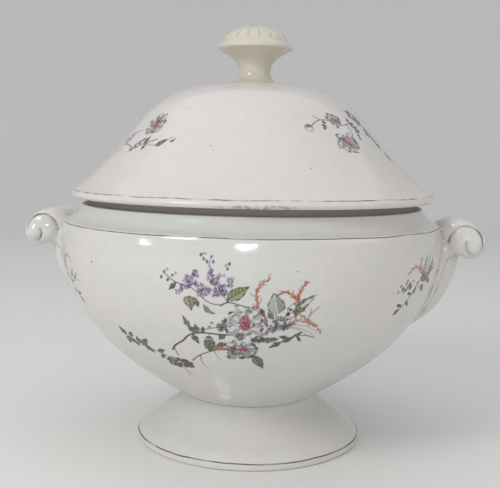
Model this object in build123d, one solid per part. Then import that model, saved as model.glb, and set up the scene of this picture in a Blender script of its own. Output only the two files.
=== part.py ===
from build123d import *
import math
import os

# Pedestal-footed soup tureen: glazed earthenware bowl with two leaf-scroll
# handles and a loose lid.  +Z up, front of the vessel faces -Y, handles on
# the X axis, foot ring rests on z = 0.  All sizes in millimetres.

# ---- driving dimensions ------------------------------------------------
FOOT_R = 84.0          # outer radius of the foot ring
FOOT_RING = 6.5        # width of the standing ring
FOOT_BAND = 4.6        # height of the plain band round the foot
FOOT_H = 34.0          # height of the foot, up to the neck
NECK_R = 50.2          # radius where bowl and foot are luted together
FOOT_WALL = 6.5        # thickness of the foot at the neck

SHOULDER_R = 139.0     # widest radius of the bowl wall
SHOULDER_Z = 162.4     # height of the shoulder edge
MOUTH_R = 123.4        # outer radius of the mouth
MOUTH_Z = 179.2        # height of the mouth
BOWL_FLOOR = 6.2       # thickness of the bowl's floor
BOWL_WALL = 5.6        # wall thickness of the bowl

LID_GAP = 0.3          # clearance between lid and mouth
LID_R = 133.0          # outer radius of the lid's bead
LID_BEAD = 5.4         # height of the bead
LID_TOP = 262.0        # height of the flat where the knob sits
LID_WALL = 5.2         # wall thickness of the lid
FLANGE_R = 115.4       # outer radius of the locating flange
FLANGE_T = 4.4         # thickness of the flange
FLANGE_DROP = 9.0      # how far the flange drops into the mouth

KNOB_BASE_R = 18.0     # radius of the knob's foot
KNOB_NECK_R = 11.4     # narrowest radius of the knob
KNOB_R = 27.7          # radius of the knob's sharp rim
KNOB_TOP = 304.4       # overall height
KNOB_FLUTES = 16       # flutes on the knob's dome
FLUTE_TURN = 16.0      # angle of the first flute from the X axis
FLUTE_STOP_R = 6.5     # flutes run in to this radius
FLUTE_W = 1.7          # width of one flute
FLUTE_D = 1.1          # depth of one flute

ROLL_X = 152.6         # centre of the handle's scroll
ROLL_Z = 156.6         # height of the scroll centre
ROLL_R = 15.0          # radius of the scroll
ROLL_HALF = 27.0       # half length of the scroll along Y
EYE_R = 7.6            # radius of the volute's eye
EYE_OUT = 4.6          # offset of the eye from the scroll centre
LEAF_TIP_Z = 89.0      # height of the leaf's lower tip
LEAF_VEIN_D = 1.6      # depth of the leaf's veins
LEAF_VEIN_W = 2.6      # width of a vein at its upper end
LEAF_VEINS = (         # (y, z) of the upper end of each vein
    (-18.5, 139.0),
    (-8.8, 143.0),
    (0.0, 139.0),
    (8.8, 143.0),
    (18.5, 139.0),
)
REACH = 200.0          # longer than the vessel's radius, for cutting prisms


def turned(profile):
    """Closed (r, z) outline drawn in the XZ plane, turned about Z."""
    face = make_face(Plane.XZ * profile)
    return revolve(face, Axis.Z)


def outline(*edges):
    """Join edges drawn in the XY plane into one closed outline."""
    return Curve() + list(edges)


def bowl_outer_points():
    """Outer wall from the neck up to just under the shoulder."""
    return [
        (NECK_R, FOOT_H),
        (67.0, 45.0),
        (81.6, 55.0),
        (94.5, 65.0),
        (105.2, 75.0),
        (114.0, 85.0),
        (121.0, 94.6),
        (129.0, 108.0),
        (134.2, 121.0),
        (137.9, 136.0),
        (SHOULDER_R + 0.1, 150.0),
        (SHOULDER_R, SHOULDER_Z - 1.4),
    ]


def bowl_inner_points():
    """Inner wall from the mouth down to the middle of the floor."""
    floor = FOOT_H + BOWL_FLOOR
    wall = SHOULDER_R - BOWL_WALL
    return [
        (MOUTH_R - 5.8, MOUTH_Z - 1.8),
        (119.8, 170.4),
        (126.6, 163.2),
        (wall - 0.9, 155.6),
        (wall, 147.0),
        (132.2, 135.0),
        (127.4, 119.0),
        (119.0, 102.6),
        (109.4, 89.4),
        (99.6, 78.6),
        (86.0, 67.0),
        (69.0, 55.0),
        (48.0, 45.0),
        (24.0, floor + 0.6),
        (0.0, floor),
    ]


def cove_points():
    """Hollow moulding from the shoulder edge up to the mouth."""
    return [
        (SHOULDER_R - 1.6, SHOULDER_Z + 0.8),
        (131.6, 165.6),
        (126.6, 170.6),
        (MOUTH_R, MOUTH_Z - 2.2),
    ]


def make_bowl():
    outer = bowl_outer_points()
    cove = cove_points()
    inner = bowl_inner_points()
    lip_out = (MOUTH_R - 1.2, MOUTH_Z)
    lip_in = (MOUTH_R - 4.4, MOUTH_Z)
    return turned(outline(
        Line((0, FOOT_H), outer[0]),
        Spline(*outer),
        Line(outer[-1], cove[0]),
        Spline(*cove),
        Line(cove[-1], lip_out),
        Line(lip_out, lip_in),
        Line(lip_in, inner[0]),
        Spline(*inner),
        Line(inner[-1], (0, FOOT_H)),
    ))


def make_foot():
    outer = [
        (FOOT_R - 1.3, FOOT_BAND + 0.6),
        (79.0, 9.4),
        (73.0, 14.2),
        (66.2, 19.2),
        (59.4, 24.4),
        (53.8, 29.2),
        (NECK_R, FOOT_H),
    ]
    hollow = [
        (NECK_R - FOOT_WALL, FOOT_H),
        (46.8, 28.2),
        (52.8, 22.4),
        (60.4, 16.6),
        (69.0, 10.4),
        (FOOT_R - FOOT_RING, 1.0),
    ]
    ring_in = (FOOT_R - FOOT_RING + 0.8, 0)
    ring_out = (FOOT_R - 1.0, 0)
    band_low = (FOOT_R, 1.0)
    band_top = (FOOT_R, FOOT_BAND)
    return turned(outline(
        Line(ring_in, ring_out),
        Line(ring_out, band_low),
        Line(band_low, band_top),
        Line(band_top, outer[0]),
        Spline(*outer),
        Line(outer[-1], hollow[0]),
        Spline(*hollow),
        Line(hollow[-1], ring_in),
    ))


def make_lid_dome():
    seat = MOUTH_Z + LID_GAP
    bead = [
        (LID_R - 1.8, seat),
        (LID_R, seat + 0.45 * LID_BEAD),
        (LID_R - 1.6, seat + 0.92 * LID_BEAD),
    ]
    dome = [
        (LID_R - 3.2, seat + LID_BEAD + 0.4),
        (119.2, 193.6),
        (103.3, 210.4),
        (85.6, 230.8),
        (77.4, 240.6),
        (66.4, 249.6),
        (54.6, 255.7),
        (41.0, 259.6),
        (KNOB_BASE_R + 3.0, LID_TOP - 0.2),
        (KNOB_BASE_R, LID_TOP),
    ]
    cavity = [
        (FLANGE_R - FLANGE_T, 190.0),
        (107.0, 198.6),
        (97.6, 208.6),
        (80.4, 228.4),
        (73.2, 236.6),
        (62.6, 244.8),
        (50.0, 250.8),
        (32.0, LID_TOP - LID_WALL - 1.6),
        (0.0, LID_TOP - LID_WALL),
    ]
    flange_low = seat - FLANGE_DROP
    drop_out = (FLANGE_R - 0.8, flange_low)
    drop_in = (FLANGE_R - FLANGE_T + 0.6, flange_low)
    return turned(outline(
        Line((FLANGE_R + 0.2, seat), bead[0]),
        Spline(*bead),
        Line(bead[-1], dome[0]),
        Spline(*dome),
        Line(dome[-1], (0, LID_TOP)),
        Line((0, LID_TOP), cavity[-1]),
        Spline(*cavity[::-1]),
        Line(cavity[0], drop_in),
        Line(drop_in, drop_out),
        Line(drop_out, (FLANGE_R + 0.2, seat)),
    ))


def knob_dome_points(inset=0.0):
    """Dome of the knob, from above the rim band to the top."""
    return [
        (23.4 - inset, 293.6 - 0.3 * inset),
        (21.0 - inset, 297.2 - 0.6 * inset),
        (16.2 - 0.5 * inset, 300.9 - inset),
        (9.0 - 0.2 * inset, 303.5 - inset),
        (0.0, KNOB_TOP - inset),
    ]


def make_knob():
    stem = [
        (KNOB_BASE_R, LID_TOP + 0.5),
        (14.8, LID_TOP + 1.9),
        (12.2, 267.2),
        (KNOB_NECK_R, 271.4),
        (12.3, 276.0),
        (15.8, 280.4),
        (21.0, 284.0),
        (KNOB_R - 0.4, 287.4),
    ]
    band = [
        (KNOB_R, 288.2),
        (26.4, 290.6),
        (24.0, 292.6),
    ]
    dome = knob_dome_points()
    body = turned(outline(
        Line((0, LID_TOP), (KNOB_BASE_R, LID_TOP)),
        Line((KNOB_BASE_R, LID_TOP), stem[0]),
        Spline(*stem),
        Line(stem[-1], band[0]),
        Spline(*band),
        Line(band[-1], dome[0]),
        Spline(*dome),
        Line(dome[-1], (0, LID_TOP)),
    ))
    return body - flute_cutters()


def flute_cutters():
    """Radial grooves that leave rounded gadroons on the knob's dome."""
    inner = knob_dome_points(FLUTE_D)
    top = (0.0, KNOB_TOP + 4.0)
    side = (32.0, KNOB_TOP + 4.0)
    low = (32.0, inner[0][1])
    section = make_face(Plane.XZ * outline(
        Spline(*inner),
        Line(inner[-1], top),
        Line(top, side),
        Line(side, low),
        Line(low, inner[0]),
    ))
    blade = extrude(section, FLUTE_W / 2, both=True)
    blade = blade - Pos(0, 0, KNOB_TOP) * Cylinder(FLUTE_STOP_R, 40)
    step = 360 / KNOB_FLUTES
    return [Rot(0, 0, FLUTE_TURN + step * i) * blade for i in range(KNOB_FLUTES)]


def strap_side():
    """Side view of the strap: over the shoulder, under the roll, down the wall."""
    over = [
        (129.0, 164.2),
        (140.0, 168.6),
        (ROLL_X, ROLL_Z + ROLL_R - 0.4),
    ]
    under = [
        (ROLL_X, ROLL_Z - ROLL_R + 2.0),
        (147.6, 142.0),
        (146.2, 135.0),
        (142.6, 122.0),
        (136.8, 108.0),
        (129.6, 98.0),
        (119.0, LEAF_TIP_Z - 3.0),
    ]
    inside = (112.0, 120.0)
    return outline(
        Line(inside, over[0]),
        Spline(*over),
        Line(over[-1], under[0]),
        Spline(*under),
        Line(under[-1], inside),
    )


def leaf_front():
    """Front outline of the strap and leaf, half of it, in (y, z)."""
    return [
        (25.0, 175.0),
        (25.0, 150.0),
        (22.5, 141.0),
        (26.5, 133.0),
        (22.0, 124.0),
        (20.5, 113.0),
        (13.0, 103.0),
        (0.0, LEAF_TIP_Z),
    ]


def leaf_block():
    """Prism through the vessel with the leaf's front outline."""
    half = leaf_front()
    mirror_half = [(-y, z) for y, z in half[::-1]]
    edges = outline(
        Spline(*half[1:]),
        Spline(*mirror_half[:-1]),
        Line(mirror_half[-2], mirror_half[-1]),
        Line(mirror_half[-1], half[0]),
        Line(half[0], half[1]),
    )
    face = make_face(Plane.YZ * edges)
    return extrude(face, REACH, dir=(1, 0, 0))


def vein_cutters(band):
    """Tapered grooves that fan down the leaf, cut to one depth."""
    half = LEAF_VEIN_W / 2
    cutters = []
    for y_top, z_top in LEAF_VEINS:
        blade = Polyline(
            (y_top - half, z_top),
            (y_top + half, z_top),
            (y_top * 0.35, LEAF_TIP_Z + 8.0),
            (y_top - half, z_top),
        )
        prism = extrude(make_face(Plane.YZ * blade), REACH, dir=(1, 0, 0))
        cutters.append(prism & band)
    return cutters


def make_roll():
    """Barrel of the scroll with raised ribs and domed volute ends."""
    half = ROLL_HALF
    rib = half / 3.0
    edge = [
        (0.0, ROLL_R),
        (rib * 0.5, ROLL_R - 0.9),
        (rib, ROLL_R),
        (rib * 1.5, ROLL_R - 0.9),
        (rib * 2.0, ROLL_R),
        (rib * 2.5, ROLL_R - 1.2),
        (half - 1.6, ROLL_R - 2.6),
        (half + 1.6, ROLL_R - 7.0),
        (half + 3.4, 0.0),
    ]
    right = Spline(*edge)
    left = Spline(*[(-y, r) for y, r in edge])
    base = Line((-edge[-1][0], 0), (edge[-1][0], 0))
    face = make_face(Plane.YZ * outline(left, right, base))
    barrel = revolve(face, Axis.Y)
    return Pos(ROLL_X, 0, ROLL_Z) * barrel


def volute_eyes():
    """Raised eye on each end of the scroll, low on the outer side."""
    out = EYE_OUT * math.cos(math.radians(35))
    down = EYE_OUT * math.sin(math.radians(35))
    eyes = []
    for side in (-1, 1):
        spot = Pos(ROLL_X + out, side * (ROLL_HALF - 1.2), ROLL_Z - down)
        disc = spot * Rot(90, 0, 0) * Cylinder(EYE_R, 6.0)
        eyes.append(disc)
    return eyes


def make_handle(bowl_solid):
    side = turned(strap_side())
    skin = side - turned_inset()
    strap = side & leaf_block()
    strap = strap - vein_cutters(skin)
    handle = strap + make_roll() + volute_eyes()
    trimmed = handle - bowl_solid
    return trimmed.solids().sort_by(SortBy.VOLUME)[-1]


def turned_inset():
    """The strap's turned body, one vein depth smaller."""
    d = LEAF_VEIN_D
    under = [
        (ROLL_X, ROLL_Z - ROLL_R + 2.0),
        (147.6 - d, 142.0),
        (146.2 - d, 135.0),
        (142.6 - d, 122.0),
        (136.8 - d, 108.0),
        (129.6 - d, 98.0 + d),
        (119.0 - d, LEAF_TIP_Z - 3.0 + d),
    ]
    inside = (100.0, 120.0)
    top = (ROLL_X, 180.0)
    return turned(outline(
        Spline(*under),
        Line(under[-1], inside),
        Line(inside, (100.0, 180.0)),
        Line((100.0, 180.0), top),
        Line(top, under[0]),
    ))


def filled_bowl():
    """The bowl without its interior, used to trim what is luted on to it."""
    outer = bowl_outer_points()
    cove = cove_points()
    lip = (MOUTH_R - 1.2, MOUTH_Z)
    return turned(outline(
        Line((0, FOOT_H), outer[0]),
        Spline(*outer),
        Line(outer[-1], cove[0]),
        Spline(*cove),
        Line(cove[-1], lip),
        Line(lip, (0, MOUTH_Z)),
        Line((0, MOUTH_Z), (0, FOOT_H)),
    ))


def main():
    os.makedirs("parts", exist_ok=True)
    bowl = make_bowl()
    handle_right = make_handle(filled_bowl())
    nodes = {
        "bowl": bowl,
        "pedestal_foot": make_foot(),
        "handle_right": handle_right,
        "handle_left": mirror(handle_right, Plane.YZ),
        "lid_dome": make_lid_dome(),
        "lid_knob": make_knob(),
    }
    for name, solid in nodes.items():
        export_step(solid, os.path.join("parts", name + ".step"))
        print(name, round(solid.volume / 1000, 1), "cm3, valid:", solid.is_valid)


main()
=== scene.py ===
import math

import bpy
import numpy as np
from mathutils import Matrix, Vector


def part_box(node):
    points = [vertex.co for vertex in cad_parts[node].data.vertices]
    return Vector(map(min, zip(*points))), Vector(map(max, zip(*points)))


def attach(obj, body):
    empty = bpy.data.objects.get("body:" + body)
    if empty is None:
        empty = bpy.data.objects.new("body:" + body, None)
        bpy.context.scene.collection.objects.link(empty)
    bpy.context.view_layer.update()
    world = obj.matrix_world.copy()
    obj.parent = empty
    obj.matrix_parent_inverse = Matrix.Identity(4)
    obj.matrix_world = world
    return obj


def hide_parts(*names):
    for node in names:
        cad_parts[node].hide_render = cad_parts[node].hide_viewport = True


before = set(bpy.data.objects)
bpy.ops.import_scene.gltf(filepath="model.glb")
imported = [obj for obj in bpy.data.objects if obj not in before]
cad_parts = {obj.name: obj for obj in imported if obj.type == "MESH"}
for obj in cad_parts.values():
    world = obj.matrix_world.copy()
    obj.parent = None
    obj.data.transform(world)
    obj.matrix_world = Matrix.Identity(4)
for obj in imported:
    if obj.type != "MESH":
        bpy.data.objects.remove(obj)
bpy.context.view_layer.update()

MM = 0.001
FULL_TURN = 2 * math.pi

# ---- sizes in millimetres: boxes from the frame, then the edges between them
BOWL_LOW, BOWL_HIGH = (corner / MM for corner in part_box("bowl"))
LID_LOW, LID_HIGH = (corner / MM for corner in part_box("lid_dome"))
FOOT_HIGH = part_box("pedestal_foot")[1] / MM
KNOB_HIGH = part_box("lid_knob")[1] / MM

NECK_Z = BOWL_LOW.z
MOUTH_Z = BOWL_HIGH.z
SHOULDER_R = 139.0
SHOULDER_Z = 162.4
MOUTH_R = 123.4
RECESS_R = 120.8
RECESS_Z = MOUTH_Z - 4.6
FOOT_R = FOOT_HIGH.x
FOOT_BAND = 4.6
LID_SEAT = MOUTH_Z + 0.3
LID_R = LID_HIGH.x
LID_TOP = LID_HIGH.z
CAVITY_TOP = LID_TOP - 5.2
KNOB_ROOT = LID_TOP - 1.4
FLUTE_LOW = 292.6
KNOB_TOP = KNOB_HIGH.z


# ---- curves
def running_total(steps):
    return np.concatenate([[0.0], np.cumsum(steps)])


def lengths(line):
    return np.linalg.norm(np.diff(line, axis=0), axis=1)


def spread(line, total, count):
    """Points on the line at even steps of a total that grows along it."""
    t = np.linspace(0.0, total[-1], count)
    return np.stack([np.interp(t, total, column) for column in line.T], 1)


def spline(points, count=400):
    """Natural cubic through the points, by chord length, evenly sampled."""
    p = np.array(points, float)
    t = running_total(lengths(p))
    n = len(p)
    h = np.diff(t)
    a = np.eye(n)
    b = np.zeros((n, p.shape[1]))
    for i in range(1, n - 1):
        a[i, i - 1:i + 2] = h[i - 1], 2 * (h[i - 1] + h[i]), h[i]
        b[i] = 6 * ((p[i + 1] - p[i]) / h[i] - (p[i] - p[i - 1]) / h[i - 1])
    m = np.linalg.solve(a, b)
    s = np.linspace(0.0, t[-1], count)
    k = np.clip(np.searchsorted(t, s, side="right") - 1, 0, n - 2)
    u = (s - t[k])[:, None]
    w = (t[k + 1] - s)[:, None]
    hk = h[k][:, None]
    return (
        m[k] * w ** 3 / (6 * hk)
        + m[k + 1] * u ** 3 / (6 * hk)
        + (p[k] / hk - m[k] * hk / 6) * w
        + (p[k + 1] / hk - m[k + 1] * hk / 6) * u
    )


def resample(line, step):
    distinct = np.concatenate([[True], lengths(line) > 1e-6])
    line = line[distinct]
    total = running_total(lengths(line))
    return spread(line, total, max(3, int(round(total[-1] / step)) + 1))


def softened(line, radius):
    """The line with its corners rounded as the glaze rounds them."""
    step = 0.2
    fine = resample(line, step)
    reach = int(3 * radius / step)
    kernel = np.exp(-0.5 * (np.arange(-reach, reach + 1) * step / radius) ** 2)
    kernel /= kernel.sum()
    before = 2 * fine[0] - fine[reach:0:-1]
    after = 2 * fine[-1] - fine[-2:-reach - 2:-1]
    padded = np.concatenate([before, fine, after])
    out = np.stack([np.convolve(column, kernel, mode="valid") for column in padded.T], 1)
    out[[0, -1]] = fine[[0, -1]]
    return out


def adapted(line, longest, widest_turn):
    """Fewer points where the line is straight, more where it turns."""
    d = np.diff(line, axis=0)
    heading = np.unwrap(np.arctan2(d[:, 1], d[:, 0]))
    turn = np.concatenate([[0.0], np.abs(np.diff(heading))])
    total = running_total(np.linalg.norm(d, axis=1) / longest + turn / math.radians(widest_turn))
    return spread(line, total, int(total[-1]) + 2)


def chain(*parts):
    return np.concatenate([np.array(part, float).reshape(-1, 2) for part in parts])


# ---- outlines, (radius, height): the CAD's, with a recess at the lip and a wider knob root
BOWL_WALL_OUT = spline([
    (50.2, NECK_Z), (67.0, 45.0), (81.6, 55.0), (94.5, 65.0), (105.2, 75.0),
    (114.0, 85.0), (121.0, 94.6), (129.0, 108.0), (134.2, 121.0), (137.9, 136.0),
    (SHOULDER_R + 0.1, 149.0), (SHOULDER_R - 0.1, 155.0), (SHOULDER_R - 0.7, SHOULDER_Z - 1.4),
])
BOWL_COVE = spline([
    (SHOULDER_R - 1.6, SHOULDER_Z + 0.8), (131.6, 165.6), (126.6, 170.6), (MOUTH_R, MOUTH_Z - 2.2),
])
BOWL_WALL_IN = spline([
    (MOUTH_R - 5.8, MOUTH_Z - 1.8), (119.8, 170.4), (126.6, 163.2), (132.5, 155.6),
    (133.4, 147.0), (132.2, 135.0), (127.4, 119.0), (119.0, 102.6), (109.4, 89.4),
    (99.6, 78.6), (86.0, 67.0), (69.0, 55.0), (48.0, 45.0), (24.0, 40.8), (0.0, 40.2),
])
FOOT_OUT = spline([
    (FOOT_R - 1.3, FOOT_BAND + 0.6), (79.0, 9.4), (73.0, 14.2), (66.2, 19.2),
    (59.4, 24.4), (53.8, 29.2), (50.2, NECK_Z),
])
FOOT_IN = spline([
    (43.7, NECK_Z), (46.8, 28.2), (52.8, 22.4), (60.4, 16.6), (69.0, 10.4), (FOOT_R - 6.5, 1.0),
])
LID_BEAD = spline([
    (LID_R - 1.8, LID_SEAT), (LID_R, LID_SEAT + 2.4), (LID_R - 1.6, LID_SEAT + 5.0),
])
LID_DOME = spline([
    (LID_R - 3.2, LID_SEAT + 5.8), (119.2, 193.6), (103.3, 210.4), (85.6, 230.8), (77.4, 240.6),
    (66.4, 249.6), (54.6, 255.7), (41.0, 259.6), (21.0, LID_TOP - 0.2), (18.0, LID_TOP),
])
LID_CAVITY = spline([
    (111.0, 190.0), (107.0, 198.6), (97.6, 208.6), (80.4, 228.4), (73.2, 236.6),
    (62.6, 244.8), (50.0, 250.8), (32.0, LID_TOP - 6.8), (0.0, CAVITY_TOP),
])
KNOB_STEM = spline([
    (25.5, LID_TOP - 0.5), (21.4, LID_TOP + 0.6), (17.4, LID_TOP + 1.7), (14.0, LID_TOP + 3.4),
    (12.0, 268.0), (11.4, 271.4), (12.3, 276.0),
    (15.8, 280.4), (21.0, 284.0), (27.3, 287.4),
])
KNOB_BAND = spline([(27.7, 288.2), (26.4, 290.6), (24.0, FLUTE_LOW)])
KNOB_DOME = spline([(23.4, 293.6), (21.0, 297.2), (16.2, 300.9), (9.0, 303.5), (0.0, KNOB_TOP)])


# ---- hand-made unevenness
def rippled(low, high, phase=0.0, scale=1.0):
    """Radial offset in mm: out of round, with throwing rings, none near low and high."""
    margin = 12.0

    def offset(around, height):
        angle = around + phase
        fade = np.clip((height - low) / margin, 0, 1) * np.clip((high - height) / margin, 0, 1)
        out_of_round = 0.16 * np.sin(2 * angle + 0.7) + 0.07 * np.sin(3 * angle + 2.1)
        rings = 0.035 * np.sin(height * 0.42 + 0.6 * np.sin(angle)) + 0.03 * np.sin(height * 0.23 + 1.0)
        return scale * fade * (out_of_round + rings)

    return offset


bowl_ripple = rippled(60.0, SHOULDER_Z)
lid_ripple = rippled(LID_SEAT + 6.0, LID_TOP - 4.0, phase=1.3)
foot_ripple = rippled(4.0, NECK_Z, phase=0.4, scale=0.6)


# ---- meshes
def mesh_object(name, points, faces):
    """A smooth-shaded mesh from points in millimetres."""
    mesh = bpy.data.meshes.new(name)
    mesh.from_pydata((np.asarray(points) * MM).tolist(), [], faces)
    mesh.validate()
    mesh.update()
    mesh.polygons.foreach_set("use_smooth", np.ones(len(mesh.polygons), bool))
    obj = bpy.data.objects.new(name, mesh)
    bpy.context.scene.collection.objects.link(obj)
    return obj


def add_crevices(obj, sharpest):
    """Store how hollow the surface is at each point, from 0 to 1, as an attribute."""
    mesh = obj.data
    count = len(mesh.vertices)
    place = np.zeros(count * 3)
    normal = np.zeros(count * 3)
    pair = np.zeros(len(mesh.edges) * 2, int)
    mesh.vertices.foreach_get("co", place)
    mesh.vertices.foreach_get("normal", normal)
    mesh.edges.foreach_get("vertices", pair)
    place = place.reshape(-1, 3) / MM
    normal = normal.reshape(-1, 3)
    first, second = pair.reshape(-1, 2).T
    degree = np.maximum(np.bincount(first, minlength=count) + np.bincount(second, minlength=count), 1)

    def around(at_first, at_second):
        """Mean over each point's edges of a value seen from either end."""
        total = np.bincount(first, at_first, count) + np.bincount(second, at_second, count)
        return total / degree

    def neighbours(value):
        return around(value[second], value[first])

    pull = np.stack([neighbours(column) for column in place.T], 1) - place
    edge = np.linalg.norm(place[first] - place[second], axis=1)
    reach = np.maximum(around(edge, edge), 0.05)
    hollow = (pull * normal).sum(1) / reach ** 2
    for _ in range(3):
        hollow = 0.4 * hollow + 0.6 * neighbours(hollow)
    layer = mesh.attributes.new("crevice", "FLOAT", "POINT")
    layer.data.foreach_set("value", np.clip(hollow / sharpest, 0, 1))


def turned(name, outline, segments, uneven=None):
    """An outline turned about Z: it closes on itself, unless an end of it is on the axis."""
    starts_on_axis = outline[0, 0] < 1e-6
    ends_on_axis = outline[-1, 0] < 1e-6
    rings = outline[int(starts_on_axis):len(outline) - int(ends_on_axis)]
    angle = np.arange(segments) * FULL_TURN / segments
    around, radius = np.meshgrid(angle, rings[:, 0])
    height = np.repeat(rings[:, 1:], segments, 1)
    if uneven:
        radius = radius + uneven(around, height)
    points = np.stack([radius * np.cos(around), radius * np.sin(around), height], 2).reshape(-1, 3)
    here = np.arange(len(points)).reshape(-1, segments)
    after = np.roll(here, -1, 1)
    above = np.roll(here, -1, 0)
    faces = np.stack([here, after, np.roll(after, -1, 0), above], 2)
    if starts_on_axis or ends_on_axis:
        faces = faces[:-1]
    faces = faces.reshape(-1, 4).tolist()
    if starts_on_axis:
        faces += [(len(points), b, a) for a, b in zip(here[0].tolist(), after[0].tolist())]
        points = np.vstack([points, [0.0, 0.0, outline[0, 1]]])
    if ends_on_axis:
        faces += [(a, b, len(points)) for a, b in zip(here[-1].tolist(), after[-1].tolist())]
        points = np.vstack([points, [0.0, 0.0, outline[-1, 1]]])
    return mesh_object(name, points, faces)


def make_bowl():
    """Joint with the foot, wall, cove, the recess under the lid's flange, lip and inside."""
    line = chain(
        (0.0, NECK_Z), BOWL_WALL_OUT, BOWL_COVE[BOWL_COVE[:, 1] < RECESS_Z],
        (RECESS_R, RECESS_Z), (RECESS_R, MOUTH_Z), (MOUTH_R - 4.4, MOUTH_Z), BOWL_WALL_IN,
    )
    profile = adapted(softened(line, radius=0.45), longest=3.0, widest_turn=7.0)
    return turned("bowl_body", profile, 320, bowl_ripple)


def make_foot():
    inner_edge = (FOOT_R - 5.7, 0.0)
    line = chain(
        inner_edge, (FOOT_R - 1.0, 0.0), (FOOT_R, 1.0), (FOOT_R, FOOT_BAND),
        FOOT_OUT, FOOT_IN, inner_edge,
    )
    profile = adapted(softened(line, radius=0.4), longest=2.4, widest_turn=7.0)
    return turned("foot_body", profile[:-1], 256, foot_ripple)


def make_lid():
    """Cavity, locating flange, seat, bead and dome."""
    line = chain(
        (0.0, CAVITY_TOP), LID_CAVITY[::-1], (111.6, LID_LOW.z), (114.6, LID_LOW.z),
        (115.6, LID_SEAT), LID_BEAD, LID_DOME, (0.0, LID_TOP),
    )
    profile = adapted(softened(line, radius=0.5), longest=2.6, widest_turn=7.0)
    return turned("lid_body", profile, 320, lid_ripple)


def make_knob():
    flutes = 16
    phase = math.radians(16.0)
    blend = 1.6

    def fluted(angle, height):
        """Grooves in the dome, which fade at its edge and near its top."""
        up = np.clip((height - FLUTE_LOW) / blend, 0, 1)
        up = up * np.clip((KNOB_TOP - 0.25 - height) / blend, 0, 1)
        groove = np.abs(np.sin(0.5 * flutes * (angle - phase)))
        return -1.15 * up * np.exp(-(groove / 0.30) ** 2) + 0.25 * up

    line = chain((0.0, KNOB_ROOT), (25.0, KNOB_ROOT), KNOB_STEM, KNOB_BAND, KNOB_DOME)
    profile = adapted(softened(line, radius=0.3), longest=0.7, widest_turn=6.0)
    return turned("knob_body", profile, 288, fluted)


# ---- solids from a distance field
def surface_nets(field, origin, pitch):
    """Closed quad mesh of the zero level of a field sampled on a grid."""
    inside = field < 0
    shape = tuple(n - 1 for n in field.shape)

    def cells_from(start):
        return tuple(slice(a, a + n) for a, n in zip(start, shape))

    total = np.zeros(shape + (3,))
    hits = np.zeros(shape)
    for start in np.ndindex(2, 2, 2):
        for axis in range(3):
            if start[axis]:
                continue
            end = start[:axis] + (1,) + start[axis + 1:]
            near = field[cells_from(start)]
            far = field[cells_from(end)]
            cross = inside[cells_from(start)] != inside[cells_from(end)]
            t = np.where(cross, near / np.where(cross, near - far, 1.0), 0.0)
            for i in range(3):
                total[..., i] += np.where(cross, start[i] + (t if i == axis else 0.0), 0.0)
            hits += cross
    cells = np.argwhere(hits > 0)
    used = tuple(cells.T)
    index = -np.ones(shape, int)
    index[used] = np.arange(len(cells))
    points = origin + (cells + total[used] / hits[used][:, None]) * pitch
    faces = []
    for axis in range(3):
        others = [(axis + 1) % 3, (axis + 2) % 3]
        near = inside.take(range(shape[axis]), axis)
        far = inside.take(range(1, shape[axis] + 1), axis)
        for leaving in (True, False):
            edge = np.argwhere(near & ~far if leaving else ~near & far)
            within = (edge[:, others] > 0) & (edge[:, others] < np.array(shape)[others])
            edge = edge[within.all(1)]
            ring = []
            for back in ((0, 0), (1, 0), (1, 1), (0, 1)):
                at = edge.copy()
                at[:, others] -= back
                ring.append(index[tuple(at.T)])
            faces += np.stack(ring if leaving else ring[::-1], 1).tolist()
    return points, faces


def smooth_min(a, b, k):
    h = np.clip(k - np.abs(a - b), 0, None) / k
    return np.minimum(a, b) - h * h * k * 0.25


def smooth_max(a, b, k):
    return -smooth_min(-a, -b, k)


def step01(x, low, high):
    t = np.clip((x - low) / (high - low), 0, 1)
    return t * t * (3 - 2 * t)


def line_distance(x, z, line):
    """Distance in the plane to a chain of straight runs."""
    best = np.full(x.shape, np.inf)
    for (ax, az), (bx, bz) in zip(line[:-1], line[1:]):
        ex, ez = bx - ax, bz - az
        t = np.clip(((x - ax) * ex + (z - az) * ez) / (ex * ex + ez * ez + 1e-12), 0, 1)
        best = np.minimum(best, np.hypot(x - ax - t * ex, z - az - t * ez))
    return best


def polygon_distance(x, z, loop):
    """Signed distance in the plane to a closed loop, negative inside."""
    loop = np.vstack([loop, loop[:1]])
    inside = np.zeros(x.shape, bool)
    for (ax, az), (bx, bz) in zip(loop[:-1], loop[1:]):
        if az != bz:
            between = (az <= z) != (bz <= z)
            inside ^= between & (x < ax + (z - az) * (bx - ax) / (bz - az))
    away = line_distance(x, z, loop)
    return np.where(inside, -away, away)


# ---- handles: a scroll on a strap, and a fluted leaf down the wall
FACE_X = 155.4
FACE_Z = 154.6
EYE_X = 159.4
EYE_Z = 151.2
HANDLE_HALF = 24.4
BORDER_AT = 18.9
RIB_PITCH = 6.2
LEAF_TOP = 156.0


def scroll_outline():
    """Side view of the strap and scroll, from the wall over the top and back."""
    return chain(spline([
        (126.0, 157.0), (131.8, 161.4), (137.6, 164.9), (143.0, 167.2), (148.6, 168.0),
        (154.6, 167.4), (160.6, 164.6), (165.4, 159.6), (168.2, 153.0), (167.8, 147.4),
        (164.2, 143.2), (158.6, 141.3), (152.8, 142.4), (147.6, 143.8), (141.0, 141.6),
        (132.0, 136.0),
    ], 90), (118.0, 140.0), (118.0, 155.0))


def spiral_groove():
    """Groove on the end face: up the inner side, over the top, round the eye."""
    return spline([
        (142.2, 152.8), (143.6, 157.6), (146.2, 161.4), (149.8, 163.8), (154.2, 164.3),
        (158.6, 163.1), (162.3, 160.2), (164.6, 156.2), (165.0, 151.8), (163.6, 147.8),
        (160.7, 145.2), (157.4, 144.9), (154.9, 147.0), (153.6, 150.2), (154.1, 153.4),
    ], 70)


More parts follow.
